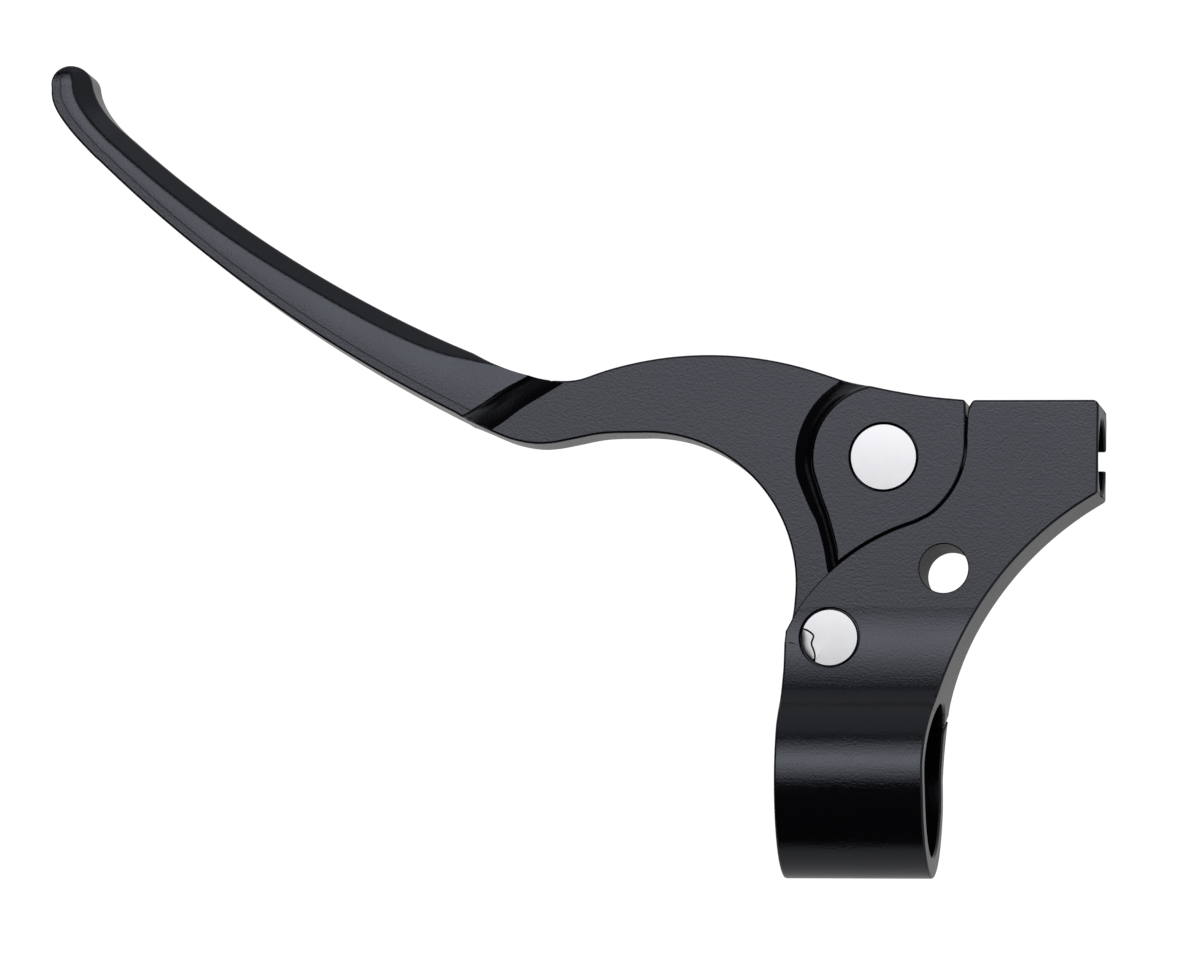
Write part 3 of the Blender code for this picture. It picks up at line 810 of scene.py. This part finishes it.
# the two edges, tip first: outer side and grip side, with as many points in each stretch
outerTip = lay([(-130.1, 116.6), (-129.7, 114.9), (-128.7, 112.8), (-127.0, 110.5), (-124.8, 108.35)])
gripTip = lay([(-136.5, 115.4), (-136.35, 113.3), (-135.2, 110.8), (-132.6, 107.4), (-128.9, 103.55)])
outerThroat = lay([(-64.5, 70.4), (-61.2, 68.7), (-57.6, 67.3), (-54.0, 66.4), (-50.6, 66.1), (-47.2, 66.35),
                   (-43.7, 67.5)])
gripThroat = lay([(-67.2, 60.15), (-62.7, 58.1), (-58.6, 56.4), (-54.8, 55.6), (-51.6, 55.65), (-48.0, 56.3),
                  (-44.0, 57.1), (-40.5, 57.35)])


def evenCount(line, count):
    total = sum((second - first).length for first, second in zip(line, line[1:]))
    return evenly(line, total / count)


def smoothStretch(before, points, after, count):
    # a curve through the points that leaves and arrives in line with its neighbours
    line = curveThrough([before, *points, after])[24:-24]
    return evenCount(line, count)


def edgeStretches():
    outerBlade = arcLine(at(20.0, 271.5), 218.1 * mm, -131.6, -112.8)
    gripBlade = arcLine(at(42.2, 281.5), 246.8 * mm, -133.9, -116.3)
    outerNeck = arcLine(at(-25.5, 11.5), 58.9 * mm, 108, 81.5)
    underNeck = arcLine(at(-35.8, 32.1), 25.3 * mm, 101, 51)
    outer = [smoothStretch(at(-130.4, 118.5), outerTip, outerBlade[3], 14), evenCount(outerBlade, 70),
             smoothStretch(outerBlade[-4], outerThroat, outerNeck[4], 26), evenCount(outerNeck, 26)]
    grip = [smoothStretch(at(-136.4, 117.2), gripTip, gripBlade[3], 14), evenCount(gripBlade, 70),
            smoothStretch(gripBlade[-4], gripThroat, underNeck[6], 26), evenCount(underNeck[4:], 26)]
    return outer, grip


def gauge(share):
    line = curveThrough([Vector(entry) for entry in bladeGauge])
    for first, second in zip(line, line[1:]):
        if share <= second.x:
            return first.lerp(second, (share - first.x) / (second.x - first.x))[1:]
    return line[-1][1:]


def bladeSection(width, half, facet):
    # (across, up) of one section, grip side first: wall, chamfer, slightly crowned top, facet, wall
    size = leverSizes
    across = min(size["gripBand"], width * 0.28)
    edge = width / 2
    crisp = edge - width * facet
    start = across - edge
    scribe, depth = size["scribe"]
    section = [(-edge, 0.0), (-edge, half * 0.5), (-edge, half)]
    for offset, fall in ((-1, 0), (-0.25, depth), (0.25, depth), (1, 0)):
        section.append((start + scribe * offset, half - fall))
    slope = math.atan(size["outerFall"])
    radius = min(size["shoulder"], width * facet * 1.5)
    reach = radius * math.tan(slope / 2)
    crown = (crisp - start) * size["crown"]
    for step in range(1, 5):
        share = step / 5
        section.append((start + scribe + (crisp - reach - start - scribe) * share, half - crown * share ** 2))
    top = half - crown
    fall = max(width * facet * size["outerFall"], 0.002 * mm)
    for step in range(7):
        turn = slope * step / 6
        section.append((crisp - reach + radius * math.sin(turn), top - radius * (1 - math.cos(turn))))
    section += [(edge, top - fall), (edge, (top - fall) * 0.5), (edge, 0.0)]
    return section


def makeBlade():
    outer, grip = edgeStretches()
    rings = []
    for part, (outerLine, gripLine) in enumerate(zip(outer, grip)):
        for index, (a, b) in enumerate(zip(outerLine, gripLine)):
            if index or not part:
                share = index / (len(outerLine) - 1)
                if part == 0:
                    half, facet = bladeGauge[0][1:]
                elif part == 1:
                    half, facet = gauge(share)
                else:
                    half = bladeGauge[-1][1]
                    facet = max(0.0, 0.11 - 0.5 * share) if part == 2 else 0.0
                rings.append((a, b, half * mm, facet))
    a, b, half, facet = rings[0]
    along = (a + b - rings[3][0] - rings[3][1]).normalized()
    end = []
    for angle in range(6, 88, 6):
        turn = math.radians(angle)
        middle = (a + b) / 2 + along * leverSizes["tipReach"] * math.sin(turn)
        reach = (a - b) / 2 * math.cos(turn)
        end.append((middle + reach, middle - reach, half * (0.82 + 0.18 * math.cos(turn)), facet))
    solid = []
    for a, b, half, facet in end[::-1] + rings:
        across = a - b
        side = across.normalized()
        middle = (a + b) / 2
        upper = bladeSection(across.length, half, facet)
        section = upper + [(place, -up) for place, up in reversed(upper[1:-1])]
        solid.append([Vector((*(middle + side * place), up)) for place, up in section])
    return stacked("blade", solid)


def headOutline():
    # from the neck's overlap with the blade's loft, round the head and the tail, and back
    outer, grip = edgeStretches()
    arcEnd = arcLine(at(-25.5, 11.5), 58.9 * mm, 81.5, 74)
    brow = lay([(-6.0, 67.1), (-2.0, 65.8), (2.3, 64.75), (6.5, 63.9), (11.5, 63.1), (17.6, 62.5)])
    front = smoothStretch(arcEnd[-4], [arcEnd[-1]] + brow, at(23.0, 61.9), 30)
    underEnd = arcLine(at(-35.8, 32.1), 25.3 * mm, 51, -5)
    under = flow([underEnd[-1]] + lay([(-10.8, 27.6), (-11.2, 25.6)]))
    tail = arcLine(pivot, leverSizes["tailRadius"], 162, 360)
    bearing = [point for point in seatLine(leverSizes["seatGap"]) if point.x > 11.4 * mm]
    back = tailLine()[1:-1]
    forward = outer[3][4:] + arcEnd[1:] + front[1:] + lay([(17.75, 61.7)])
    return (forward + bearing[::-1] + back[::-1] + tail[::-1]
            + under[::-1][1:] + underEnd[::-1][1:] + grip[3][4:-1][::-1])


def pan(name, outline, coves, floor, top, side=1):
    # what a ball-nosed cutter clears: a flat floor with a cove up to the outline, above or below the neck
    count = len(outline)
    foot = math.radians(leverSizes["coveFoot"])
    rings = []
    for step in range(11):
        ring = []
        for index, (point, (radius, height)) in enumerate(zip(outline, coves)):
            along = (outline[(index + 1) % count] - outline[index - 1]).normalized()
            brow = math.acos(math.cos(foot) - height / radius)
            turn = foot + (brow - foot) * step / 10
            moved = point + Vector((-along.y, along.x)) * radius * (math.sin(brow) - math.sin(turn))
            level = floor + radius * (math.cos(foot) - math.cos(turn))
            ring.append(Vector((moved.x, moved.y, side * level)))
        rings.append(ring)
    rings.append([Vector((point.x, point.y, side * top)) for point in outline])
    return stacked(name, rings)


def neckPan():
    # counter-clockwise: up the cheek's edge, out over the front, down the step, back under the neck
    cheek = arcLine(anchor, leverSizes["cheekRadius"], 192, 104)[::-1]
    lower = flow(lay([(-3.2, 35.6), (-3.7, 38.5), (-5.0, 43.2), (-6.1, 46.2)]) + [cheek[-1]])
    step = flow(lay([(-46.1, 72.1), (-54.0, 67.3), (-58.6, 64.5), (-62.1, 61.9), (-66.4, 59.2)]))
    front = flow([cheek[0]] + lay([(4.0, 66.2), (7.5, 68.0)]))
    side = lay([(12.0, 74.0), (-38.0, 80.0)])
    below = lay([(-76.0, 53.0), (-62.0, 34.0), (-30.0, 22.0), (-2.6, 24.0)])
    outline = lower[:-1] + cheek[::-1] + front[1:] + side + step + below
    onStep = (leverSizes["stepCove"], leverTop - leverSizes["neckHalf"])
    wide, narrow = leverSizes["cheekCove"]
    coves = []
    for point in outline:
        share = min(1.0, max(0.0, (point.y / mm - 43) / 8))
        onCheek = (narrow + (wide - narrow) * share, plateHalf - leverSizes["neckHalf"])
        coves.append(onStep if point.x < -30 * mm else onCheek)
    return outline, coves


def makeLever():
    size = leverSizes
    lever = slab("leverBody", headOutline(), -plateHalf, plateHalf)
    work(lever, makeBlade(), "UNION")
    outline, coves = neckPan()
    for side in (1, -1):
        work(lever, pan("neckPan", outline, coves, size["neckHalf"], 20 * mm, side))
    seat = seatLine(size["seatGap"])[1:]
    front = lay([(-30.0, 10.0), (30.0, 10.0), (30.0, 61.5)]) + [Vector((seat[-1].x, 61.5 * mm))]
    tailRoom = front + seat[::-1] + lay([(-14.0, 24.0), (-30.0, 24.0)])
    half = size["neckHalf"]
    work(lever, slab("tailTop", tailRoom, half, 20 * mm))
    work(lever, slab("tailUnder", tailRoom, -20 * mm, -half))
    far = 30 * mm
    mouth = 40 * mm
    room = size["eyeRoom"]
    eye = arcLine(anchor, room, 90, 270)
    eye += [Vector((mouth, anchor.y - room)), Vector((mouth, anchor.y + room))]
    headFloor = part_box("anchor_pin")[1].z - size["anchorHeadDepth"]
    washerFloor = half - size["washerDepth"]
    for tool in (
        slab("eyeSlot", eye, -size["eyeSlot"], size["eyeSlot"]),
        drilled("anchorHole", anchor, zAxis, size["anchorHole"], -far, far),
        drilled("anchorHead", anchor, zAxis, size["anchorHead"], headFloor, far),
        drilled("bushHole", pivot, zAxis, size["bushHole"], -far, far),
        drilled("upperWasher", pivot, zAxis, size["washerRoom"], washerFloor, far),
        drilled("lowerWasher", pivot, zAxis, size["washerRoom"], -far, -washerFloor),
    ):
        work(lever, tool)
    settle(lever)
    softEdges(lever, size["edge"], segments=3, share=edgeShare)
    dress(lever, "lever", "lever", "black_anodised", "lever", dullAndShaded=inHole)


makeLever()
say("lever milled")

# pins, rings, washers and the pinch screw
smallSizes = {
    "pivotShank": 3.97 * mm,
    "anchorShank": 4.7625 * mm,
    "pivotHead": 1.1 * mm,
    "anchorHead": 2.2 * mm,
    "rim": 0.18 * mm,  # chamfer round a pin's head
    "groove": 0.6 * mm,
    "grooveTop": 7.35 * mm,
    "grooveFoot": 8.55 * mm,
    "ringMouth": 13,  # half of a snap ring's opening, degrees
    "ringRounding": 0.12 * mm,
    "fit": 0.2 * mm,
    "ringSoft": 0.1 * mm,  # corners of the bush and washers
    "core": 0.05 * mm,  # radius at which a turned pin's ends close
    "pinTip": 0.4 * mm,
}


def turnedPoint(turn, angle, radius, reach):
    return turn @ Vector((math.cos(angle) * radius, math.sin(angle) * radius, reach))


def ringOf(name, centre, axis, profile, start=0.0, end=360.0, sides=96):
    # a (radius, reach) loop swept round the axis; with an opening if it does not go all the way
    turn = axis.to_track_quat("Z", "Y").to_matrix()
    middle = Vector(centre)
    whole = end - start >= 360
    bm = bmesh.new()
    rows = []
    for n in range(sides + (0 if whole else 1)):
        angle = math.radians(start + (end - start) * n / sides)
        points = [middle + turnedPoint(turn, angle, radius, reach) for radius, reach in profile]
        rows.append([bm.verts.new(point) for point in points])
    pairs = list(zip(rows, rows[1:])) + ([(rows[-1], rows[0])] if whole else [])
    for low, high in pairs:
        for index in range(len(profile)):
            after = (index + 1) % len(profile)
            bm.faces.new((low[index], low[after], high[after], high[index]))
    if not whole:
        bm.faces.new(rows[0])
        bm.faces.new(rows[-1])
    return addObject(name, bm)


def boxLoop(inner, outer, low, high, rounding):
    # a rectangular section with its corners cut
    return [(inner + rounding, low), (outer - rounding, low), (outer, low + rounding),
            (outer, high - rounding), (outer - rounding, high), (inner + rounding, high),
            (inner, high - rounding), (inner, low + rounding)]


def makePin(node, centre, shank, headDepth, marks):
    # the pin, and a test for the faces inside its marks, which get the near-black bored finish as painted
    # shade
    size = smallSizes
    low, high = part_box(node)
    top = high.z
    head = (high.x - low.x) / 2
    rim, core, tip = size["rim"], size["core"], size["pinTip"]
    neck = shank - size["groove"]
    grooveTop, grooveFoot = -size["grooveTop"], -size["grooveFoot"]
    profile = [
        (core, top), (head - rim, top), (head - rim * 0.3, top - rim * 0.3), (head, top - rim),
        (head, top - headDepth), (shank, top - headDepth), (shank, grooveTop), (neck, grooveTop),
        (neck, grooveFoot), (shank, grooveFoot), (shank, low.z + tip), (shank - tip, low.z), (core, low.z),
    ]
    pin = turnedSolid(node + "Detailed", centre, zAxis, profile)
    for index, (line, width, depth) in enumerate(marks):
        middle = flow([Vector(centre).xy + point for point in lay(line)], 0.3 * mm)
        outline = beside(middle, width * mm / 2) + beside(middle, -width * mm / 2)[::-1]
        work(pin, slab(node + "Mark" + str(index), outline, top - depth * mm, top + 1 * mm))
    settle(pin)
    softEdges(pin, 0.03 * mm, 40, 1, 25)

    # the faces inside a mark are painted near-black with the bored finish: painted shade, not a colour of the
    # steel
    def inShadedMark(polygon):
        under = top - polygon.center.z
        inside = (polygon.center.xy - centre.xy).length < head - 0.02 * mm
        return inside and 0.01 * mm < under < 1 * mm

    return pin, inShadedMark


# a stake mark beside the rim of each pin: its line from the pin's centre, its width and depth, all in mm
pivotMarks = [([(-4.7, 1.5), (-3.6, 1.15), (-2.65, 0.35), (-2.85, -0.5), (-2.95, -1.1), (-2.5, -2.3),
                (-2.35, -3.1), (-2.5, -4.2)], 0.26, 0.4)]
anchorMarks = [([(-4.4, -3.9), (-3.6, -4.3), (-3.2, -4.8)], 0.3, 0.25)]


def makeSmallPieces():
    size = smallSizes
    # each pin's stake marks are painted dark as shade
    pin, inShadedMark = makePin("pivot_pin", pivot, size["pivotShank"], size["pivotHead"], pivotMarks)
    dress(pin, "steel", "perch", "polished_steel", "pivot_pin", dullAndShaded=inShadedMark)
    pin, inShadedMark = makePin("anchor_pin", anchor, size["anchorShank"], size["anchorHead"], anchorMarks)
    dress(pin, "steel", "anchor", "polished_steel", "anchor_pin", dullAndShaded=inShadedMark)

    for node, body, centre, shank in (("pivot_retaining_ring", "perch", pivot, size["pivotShank"]),
                                      ("anchor_retaining_ring", "anchor", anchor, size["anchorShank"])):
        low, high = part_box(node)
        outer = (high.x - low.x) / 2
        inner = shank - size["groove"] + size["fit"]
        loop = boxLoop(inner, outer, low.z, high.z, size["ringRounding"])
        mouth = size["ringMouth"]
        ring = ringOf(node + "Detailed", centre, zAxis, loop, mouth - 90, 270 - mouth, 80)
        softEdges(ring, 0.04 * mm, 60, 1)
        dress(ring, "spring", body, "spring_steel", node)

    for node in ("pivot_bush", "upper_thrust_washer", "lower_thrust_washer"):
        low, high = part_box(node)
        outer = (high.x - low.x) / 2
        loop = boxLoop(size["pivotShank"] + size["fit"], outer, low.z, high.z, size["ringSoft"])
        ring = ringOf(node + "Detailed", pivot, zAxis, loop)
        softEdges(ring, 0.03 * mm, 60, 1)
        dress(ring, "bronze", "lever", "bearing_bronze", node)


screwSizes = {
    "radius": 2.5 * mm,
    "tip": 7.4 * mm,  # reach along the screw's line, from the slit's middle
    "underHead": -8.1 * mm,
    "pitch": 0.8 * mm,
    "threadDepth": 0.42 * mm,
    "threadSteps": 8,  # rows of points in each turn of the thread
    "sides": 120,
    "plain": 1.5 * mm,  # shank without thread under the head
    "fade": 1.5 * mm,  # over which the thread then deepens
    "point": (1.2 * mm, 0.4 * mm),  # length of the tip's chamfer and how far it goes in
    "headRadius": 4.25 * mm,
    "headHeight": 5.0 * mm,
    "knurls": 40,
    "knurlDepth": 0.14 * mm,
    "hexRadius": 2.3 * mm,
    "hexDepth": 2.6 * mm,
    "washer": (2.8 * mm, 4.4 * mm, 0.3 * mm, 1.3 * mm),  # inner and outer radius, reach from under the head
    "washerSoft": 0.12 * mm,
}


def threadRings(turn, middle):
    size = screwSizes
    tip, underHead, pitch, sides = size["tip"], size["underHead"], size["pitch"], size["sides"]
    pointLength, pointDepth = size["point"]
    steps = round((tip - underHead) / pitch * size["threadSteps"])
    rings = []
    for step in range(steps + 1):
        reach = tip + (underHead - tip) * step / steps
        narrowed = pointDepth * (1 - min(1.0, (tip - reach) / pointLength))
        deep = min(1.0, max(0.0, (reach - underHead - size["plain"]) / size["fade"]))
        ring = []
        for n in range(sides):
            phase = (reach / pitch - n / sides) % 1.0
            depth = size["threadDepth"] * deep * max(0.0, 1 - abs(phase - 0.5) * 2.3)
            out = size["radius"] - depth - narrowed
            ring.append(middle + turnedPoint(turn, 2 * math.pi * n / sides, out, reach))
        rings.append(ring)
    return rings


def headRings(turn, middle):
    size = screwSizes
    head, underHead, sides = size["headRadius"], size["underHead"], size["sides"]
    bottom = underHead - size["headHeight"]
    profile = [(-0.25, underHead / mm, 0), (0, underHead / mm - 0.25, 0), (0, underHead / mm - 0.5, 0),
               (0, underHead / mm - 0.6, 1), (0, bottom / mm + 0.9, 1), (0, bottom / mm + 0.7, 0),
               (0, bottom / mm + 0.45, 0), (-0.13, bottom / mm + 0.14, 0), (-0.45, bottom / mm, 0)]
    rings = []
    for inward, reach, knurl in profile:
        ring = []
        for n in range(sides):
            angle = 2 * math.pi * n / sides
            groove = size["knurlDepth"] * knurl * (0.5 + 0.5 * math.cos(angle * size["knurls"]))
            ring.append(middle + turnedPoint(turn, angle, head + inward * mm - groove, reach * mm))
        rings.append(ring)
    return rings


def makeScrew():
    # a socket head screw across the slit, with its washer
    size = screwSizes
    over = acrossSlit(0, 1)
    middle = acrossSlit(perchSizes["screwOut"], 0, perchSizes["lugAlong"])
    turn = over.to_track_quat("Z", "Y").to_matrix()
    screw = stacked("clampScrewDetailed", threadRings(turn, middle) + headRings(turn, middle))
    bottom = size["underHead"] - size["headHeight"]
    hexFloor = bottom + size["hexDepth"]
    levels = ((1.12, bottom - 0.5 * mm), (1.12, bottom), (1.0, bottom + 0.3 * mm), (1.0, hexFloor),
              (0.1, hexFloor + 0.8 * mm))
    rings = []
    for share, reach in levels:
        out = size["hexRadius"] * share
        rings.append([middle + turnedPoint(turn, math.radians(60 * n), out, reach) for n in range(6)])
    work(screw, stacked("hexSocket", rings))
    settle(screw)
    softEdges(screw, 0.04 * mm, 50, 1, 35)
    dress(screw, "zinc", "perch", "zinc_plated_steel", "clamp_screw")
    inner, outer, low, high = size["washer"]
    loop = boxLoop(inner, outer, size["underHead"] + low, size["underHead"] + high, size["washerSoft"])
    washer = ringOf("clampWasherDetailed", middle, over, loop)
    softEdges(washer, 0.04 * mm, 60, 1)
    dress(washer, "zinc", "perch", "zinc_plated_steel", "clamp_washer")


makeSmallPieces()
makeScrew()
say("pins, rings and screw turned")

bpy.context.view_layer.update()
say("done")
